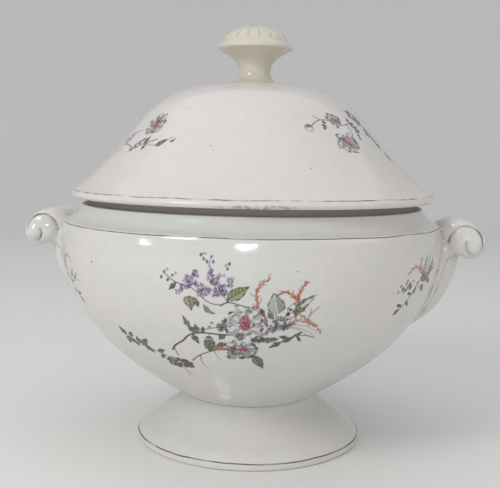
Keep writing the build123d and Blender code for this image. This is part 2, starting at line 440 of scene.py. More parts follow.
def leaf_height(across, z):
    """How far the leaf stands out of the wall, in mm, negative outside it."""
    width = np.interp(z, [83, 92, 100, 110, 120, 130, 138, 146, 156],
                      [0.5, 7.0, 13.5, 19.0, 22.5, 25.0, 25.5, 23.0, 21.0])
    width = width + 0.5 * np.sin((z - 88.0) * math.pi / 11.0) ** 2 * step01(z, 90, 100) - 0.3
    body = np.interp(z, [81, 88, 96, 104, 112, 124, 136, 150],
                     [0.2, 2.6, 5.4, 7.6, 9.2, 10.4, 11.2, 11.6])
    q = across / np.maximum(width, 0.5)
    dome = np.sqrt(np.clip(1.0 - q ** 4, 0, 1)) * (1.0 - 0.45 * q ** 2)
    ridges = np.cos(q * math.pi * 8.0)
    depth = 1.7 * step01(z, 86, 102) * step01(-z, -152, -138)
    height = body * dome + depth * ridges * np.sqrt(dome)
    outside = np.clip(np.abs(across) - width, 0, None)
    return height - 1.3 * outside - 0.8 * step01(np.abs(q), 0.9, 1.05)


def scroll_field(x, y, z):
    """Strap and scroll: a ribbed band with a domed end face, groove and eye."""
    flat_x = x[:, 0, :]
    flat_z = z[:, 0, :]
    side = polygon_distance(flat_x, flat_z, scroll_outline())[:, None, :]
    winding = line_distance(flat_x, flat_z, spiral_groove())[:, None, :]
    along = np.abs(y) / (0.80 + 0.20 * step01(x, 132.0, 148.0))
    from_centre = ((x - FACE_X) ** 2 + (z - FACE_Z) ** 2) / 13.0 ** 2
    end = along - HANDLE_HALF - 3.8 * np.clip(1.0 - from_centre, 0, 1)
    scroll = smooth_max(side, end, 5.0)
    rib = np.abs(np.sin((along - RIB_PITCH / 2) * math.pi / RIB_PITCH))
    on_rib = step01(-along, -19.2, -18.0) * step01(z, 142.0, 147.0)
    scroll = scroll + (1.5 * np.exp(-(rib / 0.36) ** 2) - 0.4) * on_rib
    border = np.exp(-((along - BORDER_AT) / 0.8) ** 2)
    scroll = scroll + border * step01(z, 143.0, 148.0)
    on_face = step01(along, 20.0, 22.4)
    scroll = scroll + 1.5 * np.exp(-(winding / 0.8) ** 2) * on_face
    eye = np.sqrt(
        ((x - EYE_X) / 5.4) ** 2 + ((z - EYE_Z) / 6.6) ** 2 + ((along - HANDLE_HALF) / 5.2) ** 2
    )
    return smooth_min(scroll, (eye - 1.0) * 5.4, 1.6)


def handle_field(x, y, z):
    """Scroll and leaf, blended into the wall and cut off just inside it."""
    wall_r = np.interp(z, BOWL_WALL_OUT[:, 1], BOWL_WALL_OUT[:, 0], right=SHOULDER_R)
    slope = np.gradient(BOWL_WALL_OUT[:, 0], BOWL_WALL_OUT[:, 1])
    lean = 1.0 / np.sqrt(1.0 + np.interp(z, BOWL_WALL_OUT[:, 1], slope) ** 2)
    off_wall = (np.hypot(x, y) - wall_r) * lean
    leaf = off_wall - leaf_height(np.arctan2(y, x) * wall_r, z)
    leaf = smooth_max(leaf, z - LEAF_TOP, 3.0) * 0.85
    joined = smooth_min(scroll_field(x, y, z), leaf, 4.0)
    cove_r = np.interp(z, BOWL_COVE[:, 1], BOWL_COVE[:, 0])
    above = (np.hypot(x, y) - cove_r) * 0.75
    wall = np.where(z > SHOULDER_Z, above, off_wall)
    body = np.maximum(smooth_min(joined, wall + 0.4, 1.8), joined - 3.0)
    return np.maximum(body, -(wall + 2.2))


def make_handles():
    pitch = 0.62
    low = np.array([107.0, -33.0, 79.0])
    high = np.array([173.0, 33.0, 173.0])
    axes = [np.arange(a, b + pitch, pitch) for a, b in zip(low, high)]
    points, faces = surface_nets(handle_field(*np.meshgrid(*axes, indexing="ij")), low, pitch)
    right = mesh_object("handle_right_scroll", points, faces)
    mirrored = points * [-1.0, 1.0, 1.0]
    left = mesh_object("handle_left_scroll", mirrored, [face[::-1] for face in faces])
    return left, right


# ---- painted sprays: the palette and the brush
PALETTE = {
    "pearl": (210, 208, 206), "cream": (212, 208, 176), "ash": (146, 148, 150), "smoke": (92, 90, 98),
    "night": (34, 28, 46), "violet": (82, 60, 106), "mauve": (116, 92, 132), "lilac": (158, 142, 178),
    "pine": (28, 42, 32), "moss": (54, 74, 44), "leaf": (84, 100, 54), "olive": (122, 126, 76),
    "sage": (108, 120, 110), "rust": (174, 98, 66), "sienna": (116, 58, 38), "bark": (70, 52, 40),
    "rose": (156, 34, 78), "wine": (84, 16, 42), "blush": (208, 160, 176),
}


def ink(name):
    """A palette colour as linear light."""
    value = np.array(PALETTE[name]) / 255.0
    return np.where(value < 0.04045, value / 12.92, ((value + 0.055) / 1.055) ** 2.4)


def toward(way):
    return np.array([math.cos(way), math.sin(way)])


class Canvas:
    """A grid laid on a turned wall: x in mm round it at radius rule, y in mm up it."""

    def __init__(self, outline, rule, x_range, y_range, pitch):
        self.rule = rule
        self.pitch = pitch
        self.x = np.arange(*x_range, pitch)
        self.y = np.arange(*y_range, pitch)
        up = running_total(lengths(outline))
        self.radius = np.interp(self.y, up, outline[:, 0])
        self.height = np.interp(self.y, up, outline[:, 1])
        self.paint = np.zeros((len(self.y), len(self.x), 4))
        self.paint[..., :3] = ink("pearl")
        self.random = np.random.default_rng(11)

    def squeeze(self, y):
        return np.interp(y, self.y, self.radius) / self.rule

    def near(self, x, y, reach):
        """The part of the grid about a point, with offsets from it in true mm."""
        squeeze = self.squeeze(y)
        cols = slice(*np.searchsorted(self.x, (x - reach / squeeze, x + reach / squeeze)))
        rows = slice(*np.searchsorted(self.y, (y - reach, y + reach)))
        dx, dy = np.meshgrid((self.x[cols] - x) * squeeze, self.y[rows] - y)
        return (rows, cols), dx, dy

    def lay(self, window, depth_inside, name, strength=1.0):
        """Lay ink where depth_inside is positive, with an edge one grid step soft."""
        under = self.paint[window]
        cover = np.clip(depth_inside / self.pitch + 0.5, 0, 1)[..., None] * strength
        kept = under[..., 3:] * (1 - cover)
        total = cover + kept
        blend = (ink(name) * cover + under[..., :3] * kept) / np.maximum(total, 1e-4)
        under[..., :3] = np.where(total > 1e-4, blend, under[..., :3])
        under[..., 3:] = total

    def dot(self, x, y, size, name, long=1.0, turn=0.0, strength=1.0):
        window, dx, dy = self.near(x, y, size * max(1.0, long) + 1.0)
        along = (dx * math.cos(turn) + dy * math.sin(turn)) / long
        across = dy * math.cos(turn) - dx * math.sin(turn)
        self.lay(window, size - np.hypot(along, across), name, strength)

    def line(self, points, width, name, taper=0.0, strength=1.0):
        path = spline(points, 6 * len(points)) if len(points) > 2 else np.array(points, float)
        middle = path.mean(0)
        reach = np.linalg.norm(path - middle, axis=1).max() + width + 1.0
        window, dx, dy = self.near(*middle, reach)
        path = (path - middle) * [self.squeeze(middle[1]), 1.0]
        thin = np.linspace(1.0, 1.0 - taper, len(path) - 1) * width / 2
        inside = np.full(dx.shape, -np.inf)
        for start, end, half in zip(path[:-1], path[1:], thin):
            run = end - start
            t = ((dx - start[0]) * run[0] + (dy - start[1]) * run[1]) / (run @ run + 1e-9)
            t = np.clip(t, 0, 1)
            away = np.hypot(dx - start[0] - t * run[0], dy - start[1] - t * run[1])
            inside = np.maximum(inside, half - away)
        self.lay(window, inside, name, strength)

    def leaf(self, base, tip, width, fill, rim="pine", vein="pine", bow=0.0, full=0.72, strength=0.92):
        """A leaf or petal from base to tip, shaded on one side, with rim and veins."""
        run = (np.array(tip, float) - base) * [self.squeeze(base[1]), 1.0]
        length = np.hypot(*run)
        run = run / length
        window, dx, dy = self.near(*base, length * 1.2 + width)
        u = dx * run[0] + dy * run[1]
        t = np.clip(u / length, 0, 1)
        v = dy * run[0] - dx * run[1] - bow * length * 4 * t * (1 - t)
        half = width / 2 * np.sin(math.pi * t ** full)
        past = np.maximum(-u, u - length)
        inside = np.where(past > 0, -np.hypot(past, v), half - np.abs(v))
        self.lay(window, inside, fill, strength)
        if vein:
            vein_half = 0.30
            side_step = 2.6
            self.lay(window, np.minimum(inside, v), vein, 0.35)
            side = np.abs((u - 0.9 * np.abs(v)) % side_step - side_step / 2)
            self.lay(window, np.minimum(inside, vein_half - side), "cream", 0.45)
            self.lay(window, np.minimum(inside, vein_half - np.abs(v)), vein, 0.85)
        uneven = 0.32 + 0.22 * np.sin(1.3 * u + width)
        self.lay(window, uneven - np.abs(inside - 0.15), rim, 0.9)

    def leaves(self, *rows):
        """Plain leaves: each row is the x and y of base and tip, a width and a colour."""
        for x0, y0, x1, y1, width, name in rows:
            self.leaf((x0, y0), (x1, y1), width, name)

    def lines(self, name, width, paths, taper=0.0):
        for points in paths:
            self.line(points, width, name, taper=taper)


# ---- painted sprays: what the brush makes
def floret(canvas, place, size, shades):
    """Small flower of four or five strokes, some tipped dark, with a pale middle."""
    turn = canvas.random.uniform(0, math.pi)
    lobes = canvas.random.integers(4, 6)
    for k in range(lobes):
        way = turn + k * FULL_TURN / lobes
        shade = shades[canvas.random.integers(len(shades))]
        out = size * toward(way)
        canvas.dot(*(place + 0.62 * out), 0.34 * size, shade, long=1.5, turn=way)
        if canvas.random.random() < 0.4:
            canvas.dot(*(place + 0.95 * out), 0.24 * size, "night", long=1.3, turn=way + 1.4)
    eye = "night" if canvas.random.random() < 0.45 else "pearl"
    canvas.dot(*place, 0.24 * size, eye, strength=0.9)


def cluster(canvas, x, y, wide, tall, count, shades, size=1.5):
    """A head of florets, close at the middle and loose at the edge."""
    for _ in range(count):
        way = canvas.random.uniform(0, FULL_TURN)
        out = canvas.random.random() ** 0.65
        place = (x, y) + out * toward(way) * (wide, tall)
        floret(canvas, place, size * canvas.random.uniform(0.7, 1.15), shades)


def buds(canvas, points, shades=("violet", "lilac", "mauve")):
    for k, (x, y) in enumerate(points):
        canvas.dot(x, y, 0.85, shades[k % len(shades)], long=1.3, turn=1.2)


def fern(canvas, points, width, twig, name="rust", shade="sienna"):
    """A branch like coral: uneven strokes that fork and swell at their ends."""
    path = spline(points, 3 * len(points)) if len(points) > 2 else np.linspace(*points, 6)
    canvas.line(points, width, name, taper=0.5)
    for k in range(len(path) - 1):
        run = path[k + 1] - path[max(k - 1, 0)]
        side = 1 if k % 2 else -1
        way = math.atan2(run[1], run[0]) + side * math.radians(canvas.random.uniform(30, 58))
        reach = twig * (1.0 - 0.4 * k / len(path)) * canvas.random.uniform(0.6, 1.3)
        knee = path[k] + 0.55 * reach * toward(way)
        way -= side * math.radians(canvas.random.uniform(5, 45))
        end = knee + 0.55 * reach * toward(way)
        canvas.line([path[k], knee, end], width * 0.62, name, taper=0.4)
        canvas.dot(*knee, width * canvas.random.uniform(0.3, 0.5), shade if k % 3 == 0 else name)
        canvas.dot(*end, width * 0.34, name)
    canvas.line(points, width * 0.45, shade, taper=0.5, strength=0.7)


def compound_leaf(canvas, base, tip, width, pairs, fill="moss", rim="pine"):
    """Leaflets in pairs along a rib, largest in the middle."""
    base = np.array(base, float)
    run = np.array(tip, float) - base
    heading = math.atan2(run[1], run[0])
    canvas.line([base, base + run], 0.5, rim)
    for k in range(pairs):
        part = (k + 0.6) / pairs
        reach = width / 2 * math.sin(math.pi * min(0.95, part * 0.8 + 0.12))
        for side in (-1, 1):
            start = base + run * part
            end = start + reach * toward(heading + side * math.radians(52))
            canvas.leaf(start, end, reach * 0.62, fill, rim=rim, vein=None)
    canvas.leaf(base + run * 0.8, base + run * 1.08, width * 0.3, fill, rim=rim, vein=None)


def heart(canvas, x, y, wide, tall, turn=0.0, name="rose", rim="wine"):
    """Stippled centre of a flower."""
    canvas.dot(x, y, wide / 2, name, long=tall / wide, turn=turn + math.pi / 2)
    for _ in range(int(1.6 * wide * tall)):
        way = canvas.random.uniform(0, FULL_TURN)
        out = 0.9 * canvas.random.random() ** 0.5
        across, up = toward(way) * (wide / 2 * out, tall / 2 * out)
        place = (x, y) + across * toward(turn) + up * toward(turn + math.pi / 2)
        dark = canvas.random.random() < 0.6
        canvas.dot(*place, 0.34 if dark else 0.28, rim if dark else "blush", strength=0.8)


def blossom(canvas, x, y, wide, tall, petals, lean=0.0, fill="pearl", shade="ash", tips="smoke"):
    """Open flower: pale petals, each with a shaded side, a dark rim and dark blots."""
    middle = np.array([x, y], float)
    oval = np.array([wide, tall]) / 2
    for k in range(petals):
        way = lean + FULL_TURN * (k + canvas.random.uniform(-0.2, 0.2)) / petals
        long = canvas.random.uniform(0.74, 1.12)
        out = long * oval * toward(way)
        width = 1.45 * math.hypot(*out) * math.sin(math.pi / petals) + 0.6
        canvas.leaf(middle + 0.2 * out, middle + out, width, fill,
                    rim="smoke", vein=None, full=1.4, strength=0.8)
        beside = 0.2 * width * toward(way + math.pi / 2)
        canvas.dot(*(middle + 0.66 * out + beside), 0.17 * width, shade, long=2.2, turn=way, strength=0.8)
        canvas.line([middle + 0.3 * out, middle + 0.72 * out], 0.4, shade)
        for _ in range(canvas.random.integers(1, 3)):
            reach = long * canvas.random.uniform(0.8, 1.0)
            blot = middle + reach * oval * toward(way + canvas.random.uniform(-0.16, 0.16))
            size = canvas.random.uniform(0.45, 1.0)
            canvas.dot(*blot, size, tips, long=1.8, turn=way + 1.2, strength=0.9)


# ---- painted sprays: the front design, in four parts
LILAC = ("violet", "mauve", "lilac", "lilac")
DUSK = ("violet", "night", "smoke", "mauve")
# SHADOW and the set after it are painted shade: greyed, darkened florets for the heads in the handle's shade
SHADOW = ("smoke", "night", "smoke", "mauve")
SHADE_GREYED_FLORETS = ("smoke", "mauve", "ash", "smoke")
TAIL = ("lilac", "smoke", "mauve")


def paint_lilac(c):
    """The lilac branch at the upper left of the front spray."""
    c.line([(-34, 144), (-31, 141), (-26, 138), (-19, 136), (-14, 132), (-9, 127), (-1, 125)], 0.75, "pine")
    c.line([(-1, 125), (3, 127), (8, 126), (15, 124)], 0.9, "pine")
    c.line([(-7, 149), (-5, 142), (0, 133), (3, 127)], 0.68, "pine")
    c.lines("mauve", 0.52, ([(-6, 146), (-8, 151), (-12, 156)], [(-6, 146), (-7, 151), (-6, 155)]))
    c.dot(-1, 125, 0.7, "pine")
    c.dot(15, 124, 0.6, "pine")
    c.line([(3, 127), (3, 129)], 0.9, "pine")
    cluster(c, -5, 143, 4.2, 4.2, 12, LILAC)
    cluster(c, -20, 139, 5.0, 4.4, 14, LILAC)
    cluster(c, -12, 134, 5.0, 4.6, 14, LILAC)
    cluster(c, -1, 135.5, 6.8, 5.6, 24, LILAC)
    cluster(c, -1, 135, 3.0, 2.6, 6, ("violet", "violet", "mauve"))
    cluster(c, -26, 134, 2.2, 2.0, 4, ("lilac", "smoke"))
    cluster(c, 5, 140, 3.0, 2.4, 4, ("lilac", "mauve"))
    cluster(c, -15, 144, 2.6, 2.2, 4, LILAC)
    buds(c, [(-12, 156), (-10, 157), (-10.5, 153.5), (-8.5, 152), (-7, 149), (-6, 155), (-5, 152)])
    buds(c, [(-36, 141), (-34, 144.5), (-32, 146), (-32, 139.5), (-29, 142.5), (-27, 144)],
         ("night", "smoke", "lilac"))
    buds(c, [(2, 150), (4, 151), (3, 148), (1, 144)], ("lilac", "night", "smoke"))
    c.leaf((3, 129), (15, 137.5), 7.4, "olive")
    c.leaf((-20, 130), (-19, 120.5), 7.6, "olive", full=0.55)
    c.leaves((-27, 138, -32, 133, 2.8, "moss"), (-16, 129, -14.5, 122.5, 2.8, "sage"))
    c.leaf((-11.5, 125), (-4.5, 119), 3.2, "sage", bow=-0.16, rim="smoke", vein=None)


def paint_ferns(c):
    """Rust-coloured ferns and grey leaves at the upper right."""
    for points, width, twig in (
        ([(26, 115), (23, 118), (19.5, 123), (20, 128), (19, 133), (21, 138), (27, 143)], 1.25, 4.2),
        ([(44, 128), (40, 132), (35, 134.5), (31.5, 132)], 1.3, 2.6),
        ([(43, 127.5), (44, 134), (46, 138), (48, 141)], 1.2, 2.6),
        ([(31, 115), (39, 116), (46, 115), (53, 112), (58, 109), (62, 104)], 1.0, 3.0),
        ([(42, 116), (44, 120), (48, 123)], 0.9, 2.4),
        ([(46, 119), (51, 115), (57, 110.5)], 0.9, 2.4),
    ):
        fern(c, points, width, twig)
    c.lines("smoke", 0.6, ([(50, 114), (52, 119), (57, 124)], [(52, 118), (52, 123)]))
    c.line([(31, 108), (31, 121), (30, 127)], 0.6, "pine")
    c.leaf((32, 120), (29, 134), 10.6, "sage", vein="pearl", full=0.62)
    c.leaf((42, 119), (53, 132), 6.0, "leaf", bow=0.05)
    c.leaf((45, 124), (54, 132), 3.0, "pearl", rim="smoke", vein=None)
    c.leaf((38.5, 120), (42, 127.5), 4.2, "pearl", rim="night", vein=None)
    c.dot(39.6, 122.6, 1.0, "night")
    c.dot(38.2, 119.6, 1.2, "night", long=1.4, turn=1.0)
    c.leaves((24, 118, 22, 124, 2.6, "moss"), (30, 116, 26, 121, 3.2, "sage"))


def paint_stems(c):
    """Lower stems with their leaves, and the sprig that runs out to the left."""
    branch = [(-40, 86), (-36, 91), (-29, 96), (-24, 101), (-15, 104), (-9, 104), (2, 103.5), (9, 105)]
    c.line(branch, 1.27, "pine")
    c.line([(-38, 89), (-37, 81)], 0.9, "pine")
    c.line([(-27, 77), (-19, 84), (-11, 88), (-5, 91)], 0.9, "bark")
    c.line([(-19, 84), (-19.5, 77), (-15, 69)], 0.75, "bark", taper=0.5)
    c.lines("bark", 0.6, ([(-8, 89), (-7, 84), (-4, 80)], [(-40, 71), (-37, 64), (-37, 57)]), taper=0.5)
    c.line([(-38, 66), (-33, 59)], 0.52, "bark", taper=0.5)
    c.line([(-82, 97), (-79, 94), (-71, 88), (-61, 84), (-52, 81), (-44, 76)], 0.75, "pine")
    c.leaves(
        (-66, 86, -59, 93, 4.6, "moss"), (-64, 86, -58, 80, 4.4, "moss"), (-54, 82, -47, 85, 3.4, "moss"),
        (-68, 87, -68, 94, 3.6, "moss"), (-78, 93, -82, 100, 4.2, "moss"), (-77, 92, -80, 85, 4.4, "moss"),
        (-76, 91, -70, 84, 4.0, "moss"), (-75, 92, -71, 97, 3.4, "moss"), (-50, 80, -54, 75, 3.0, "moss"),
        (-22, 108, -25, 116, 3.4, "sage"), (-19, 104, -23, 109.5, 3.6, "moss"),
        (-17, 104, -18, 111, 3.4, "leaf"), (-14, 104, -13, 109, 2.6, "moss"),
        (-21, 102, -18, 94.5, 4.2, "moss"),
    )
    compound_leaf(c, (-10, 103), (-11, 89), 10.5, 5, "leaf")
    c.leaves(
        (2, 104, 8, 109.5, 4.0, "leaf"), (0, 104, -4, 99, 3.6, "moss"), (6, 104, 11, 101, 3.4, "leaf"),
    )
    c.leaf((-9, 92), (1, 90.5), 3.8, "rust", rim="sienna", vein="sienna")
    c.leaves((-6, 94, 3, 96.5, 3.6, "moss"))
    c.line([(29, 109.5), (34, 111), (40, 112)], 1.2, "pine")
    compound_leaf(c, (16, 99), (25, 101), 8.0, 4, "moss")
    c.leaves((24, 99, 35, 101, 4.2, "leaf"))
    c.line([(18, 87), (21, 83)], 0.9, "pine")
    c.leaves((19, 85.5, 26.5, 72, 6.4, "moss"))
    c.line([(58, 101), (52, 103), (45, 103), (39, 100), (33, 95)], 0.75, "pine")
    c.leaves(
        (36, 98, 29, 93, 3.6, "moss"), (37, 98, 44, 102, 3.4, "moss"), (41, 101, 34, 103, 2.6, "moss"),
        (46, 103, 49, 98, 2.0, "moss"), (44, 103, 49, 106, 1.8, "moss"),
    )
    c.lines("smoke", 0.52, (
        [(36, 110), (46, 108), (53, 103)], [(39, 111), (49, 108), (58, 102)],
        [(43, 112), (52, 110), (59, 105)],
    ), taper=0.4)


def paint_flowers(c):
    """The large flower, its two companions below and the small dark heads."""
    cluster(c, -3, 110.5, 7.6, 3.6, 18, DUSK, 1.3)
    c.line([(-12, 107), (-5, 109), (2, 110)], 0.6, "pine")
    cluster(c, 33, 112, 10.5, 4.6, 26, DUSK, 1.4)
    cluster(c, 27, 107, 5.0, 3.0, 7, LILAC, 1.3)
    cluster(c, 37, 116, 5.0, 2.6, 6, ("pearl", "smoke", "lilac"), 1.6)
    blossom(c, 11, 91, 27, 19, 10, 0.2, shade="sage", tips="pine")
    blossom(c, 9, 87, 21, 11, 7, 0.5, fill="ash", tips="pine")
    blossom(c, 8, 91, 14, 9, 6, 0.9)
    heart(c, 4.5, 91, 5.6, 3.6, name="wine", rim="night")
    heart(c, 11.5, 91, 5.4, 3.4, name="wine", rim="rose")
    blossom(c, -38, 73, 26, 12, 9, 0.1, fill="sage", shade="pine", tips="pine")
    blossom(c, -37, 73, 16, 8, 7, 0.6, fill="moss", shade="pine", tips="pine")
    heart(c, -39.5, 73.5, 6.4, 2.8, 0.1, name="wine", rim="blush")
    c.leaf((20, 114), (25, 118), 4.2, "rust", rim="sienna", vein="sienna")
    c.dot(22, 115, 2.0, "rust", long=1.3)
    c.dot(22.5, 111, 0.9, "night", long=1.8)
    blossom(c, 13, 113, 28, 28, 9, 0.35, tips="night")
    blossom(c, 12, 112, 18, 21, 7, 0.0, tips="smoke")
    cluster(c, 9, 102, 5.0, 2.2, 5, ("mauve", "smoke", "blush"), 1.5)
    heart(c, 13, 113, 6.4, 11.6)


def paint_front():
    canvas = Canvas(BOWL_WALL_OUT, 130.0, (-86.0, 67.0), (53.0, 160.0), 0.55)
    for part in (paint_stems, paint_ferns, paint_lilac, paint_flowers):
        part(canvas)
    return canvas


# ---- painted sprays: the three small designs
def paint_side():
    """Small spray beside a handle: rust fern over dark florets and a falling stem; the two heads nearest the
    handle are greyed and darkened as painted shade.
    """
    c = Canvas(BOWL_WALL_OUT, 130.0, (107.0, 168.0), (104.0, 153.0), 0.5)
    c.line([(140, 137), (133, 128), (128, 121), (120, 113)], 0.9, "pine")
    c.line([(141, 136), (150, 139), (160, 141)], 0.75, "bark")
    fern(c, [(140, 138), (135, 143), (128, 144.5), (122, 140)], 1.1, 3.2)
    fern(c, [(139, 139), (141, 144), (145, 149)], 0.9, 2.6)
    fern(c, [(137, 142), (136, 148), (138, 151)], 0.9, 2.0)
    for points in (
        [(141, 136), (146, 143), (150, 151)], [(143, 136), (150, 141), (155, 149)],
        [(142, 134), (151, 137), (159, 144)], [(140, 138), (143, 145), (144, 151)],
    ):
        fern(c, points, 0.8, 2.4, "bark", "night")
    cluster(c, 124, 131.5, 7.0, 3.6, 13, ("night", "violet", "pine"), 1.25)
    # painted shade: these two heads are greyed and darkened where the handle shades them
    cluster(c, 147, 136, 7.0, 4.6, 18, SHADOW, 1.5)
    cluster(c, 154, 143, 5.0, 4.0, 10, SHADE_GREYED_FLORETS, 1.4)
    buds(c, [(123, 136), (130, 135), (117, 133), (115.5, 129), (136, 133), (140, 130)], ("night", "smoke"))
    c.leaves(
        (124, 118, 118, 119.5, 2.6, "moss"), (123, 116, 117, 112, 3.0, "moss"),
        (128, 121, 132, 117, 2.4, "moss"), (131, 126, 126, 127, 2.2, "moss"),
        (142, 131, 148, 126, 4.0, "moss"), (150, 134, 157, 131, 3.8, "moss"),
        (135, 131, 134, 125, 2.6, "moss"),
    )
    return c


def paint_lid_left():
    """Lid spray with one red-hearted flower over a bent stem."""
    c = Canvas(LID_DOME, 100.0, (-126.0, -40.0), (22.0, 78.0), 0.5)
    c.lines("smoke", 0.9, (
        [(-122, 28), (-116, 38), (-108, 44), (-96, 45), (-84, 42)],
        [(-116, 46), (-108, 52), (-99, 56), (-90, 58)],
    ))
    c.line([(-118, 30), (-110, 37), (-101, 41)], 0.8, "bark")
    c.line([(-84, 40), (-72, 46), (-61, 50)], 0.9, "pine")
    compound_leaf(c, (-86, 38), (-76, 50), 8.0, 4, "sage", "bark")
    c.leaves(
        (-73, 46, -71, 53, 3.4, "moss"), (-70, 46, -71, 40, 2.6, "leaf"), (-59, 44, -51, 50, 4.4, "leaf"),
    )
    c.line([(-70, 46), (-58, 45), (-48, 52)], 0.52, "moss")
    cluster(c, -46, 49, 2.4, 1.8, 4, ("smoke", "lilac"), 1.2)
    cluster(c, -103, 50, 8.0, 6.0, 18, TAIL, 1.6)
    blossom(c, -75, 63, 25, 22, 8, 0.4, shade="sage", tips="moss")
    blossom(c, -75, 64, 13, 16, 6, 0.1, fill="blush", shade="sage", tips="smoke")
    heart(c, -75, 64, 3.8, 9.6, 0.15, name="wine", rim="rose")
    return c


def paint_lid_right():
    """Lid spray with a bud, two red-hearted flowers and a lilac tail."""
    c = Canvas(LID_DOME, 100.0, (48.0, 136.0), (22.0, 82.0), 0.5)
    c.line([(56, 62), (62, 67), (70, 69), (79, 68)], 0.68, "moss")
    c.line([(62, 72), (67, 69)], 0.75, "moss")
    c.line([(88, 65), (96, 66), (103, 68)], 0.68, "pine")
    c.line([(95, 66), (95, 58), (90, 53)], 0.6, "pine")
    c.dot(54.5, 61.5, 3.3, "smoke", strength=0.8)
    c.dot(54.5, 61, 2.8, "pearl")
    c.dot(54.5, 63.4, 1.5, "bark", long=1.6, strength=0.8)
    c.lines("ash", 0.5, ([(52.5, 63), (53, 60), (54.5, 58.5)], [(57, 63), (56.5, 60), (55, 58.5)]))
    compound_leaf(c, (71, 69), (68, 61), 6.4, 3, "leaf")
    compound_leaf(c, (99, 72), (107, 60), 8.0, 4, "leaf")
    compound_leaf(c, (104, 62), (101, 53), 5.0, 3, "leaf")
    blossom(c, 83, 69, 17, 13, 8, 0.6, shade="sage")
    heart(c, 83.5, 68.5, 7.4, 4.0, -0.25, name="rose")
    blossom(c, 84, 50, 25, 17, 10, -0.2, shade="sage")
    blossom(c, 84, 50, 16, 12, 6, 0.3, fill="blush", shade="ash", tips="moss")
    heart(c, 84, 50, 4.0, 11.6, 0.85, name="wine", rim="rose")
    c.line([(104, 80), (112, 76), (119, 66), (122, 55), (125, 44), (127, 30)], 0.68, "smoke")
    c.line([(108, 82), (115, 76), (122, 66), (126, 52)], 0.9, "mauve")
    for x, y, size, count in (
        (112, 76, 3.6, 9), (117, 69, 4.4, 12), (121, 61, 4.4, 12), (124, 50, 3.8, 10), (127, 38, 3.0, 7),
    ):
        cluster(c, x, y, size, size * 1.4, count, TAIL, 1.7)
    return c


# ---- painted sprays: laid on the wall
def marks(count, step=12):
    """Every step-th index, then the last, with no short step before it."""
    return sorted({*range(0, count - step // 2, step), count - 1})


def patch_faces(rows, cols):
    """Fine grid in front, coarse grid behind, joined along the fine border."""
    index = np.arange(rows * cols).reshape(rows, cols)
    front = np.stack([index[:-1, :-1], index[:-1, 1:], index[1:, 1:], index[1:, :-1]], -1)
    faces = front.reshape(-1, 4).tolist()
    row_marks = marks(rows)
    col_marks = marks(cols)
    behind = {}
    for r in row_marks[1:-1]:
        for k in col_marks[1:-1]:
            behind[r, k] = rows * cols + len(behind)
    for r0, r1 in zip(row_marks[:-1], row_marks[1:]):
        for k0, k1 in zip(col_marks[:-1], col_marks[1:]):
            low = range(k0, k1) if r0 == 0 else (k0,)
            right = range(r0, r1) if k1 == cols - 1 else (r0,)
            high = range(k1, k0, -1) if r1 == rows - 1 else (k1,)
            left = range(r1, r0, -1) if k0 == 0 else (r1,)
            ring = [(r0, k) for k in low] + [(r, k1) for r in right]
            ring += [(r1, k) for k in high] + [(r, k0) for r in left]
            faces.append([behind.get(at, int(index[at])) for at in ring][::-1])
    return faces, list(behind)


def make_patch(name, canvas, uneven, turn=0.0, mirrored=False):
    """The painted skin: a thin closed sheet that sinks into the wall at its border."""
    lift, sink, depth, fade = 0.05, 0.15, 0.7, 6
    angle = canvas.x / canvas.rule * (-1 if mirrored else 1) + turn - math.pi / 2
    around, radius = np.meshgrid(angle, canvas.radius)
    height = np.repeat(canvas.height[:, None], len(angle), 1)
    radius = radius + uneven(around, height)
    wall = np.stack([radius * np.cos(around), radius * np.sin(around), height], -1)
    normal = np.cross(np.gradient(wall, axis=1), np.gradient(wall, axis=0))
    normal *= -1 if mirrored else 1
    normal /= np.linalg.norm(normal, axis=-1, keepdims=True)
    rows, cols = height.shape
    from_end = [np.minimum(np.arange(n), np.arange(n)[::-1]) for n in (rows, cols)]
    from_edge = np.minimum.outer(*from_end)
    offset = -sink + (lift + sink) * step01(from_edge, 0, fade)
    skin = wall + normal * offset[..., None]
    faces, behind = patch_faces(rows, cols)
    if mirrored:
        faces = [face[::-1] for face in faces]
    at = tuple(np.array(behind).T)
    points = np.vstack([skin.reshape(-1, 3), wall[at] - normal[at] * depth])
    piece = mesh_object(name, points, faces)
    normals = np.vstack([normal.reshape(-1, 3), -normal[at]])
    piece.data.normals_split_custom_set_from_vertices(normals.tolist())
    paint = np.vstack([canvas.paint.reshape(-1, 4), np.zeros((len(behind), 4))])
    layer = piece.data.attributes.new("paint", "FLOAT_COLOR", "POINT")
    layer.data.foreach_set("color", paint.ravel())
    return piece


def make_sprays():
    """Front and back main sprays, four small ones by the handles, four on the lid."""
    front = paint_front()
    side = paint_side()
    lid_designs = (paint_lid_left(), paint_lid_right())
    half = math.pi
    on_bowl = [
        make_patch("spray_front", front, bowl_ripple),
        make_patch("spray_back", front, bowl_ripple, half),
    ]
    for number in range(4):
        name = f"spray_side_{number + 1}"
        on_bowl.append(make_patch(name, side, bowl_ripple, number // 2 * half, number % 2 == 1))
    on_lid = [
        make_patch(f"lid_spray_{number + 1}", lid_designs[number % 2], lid_ripple, number // 2 * half)
        for number in range(4)
    ]
    return on_bowl, on_lid


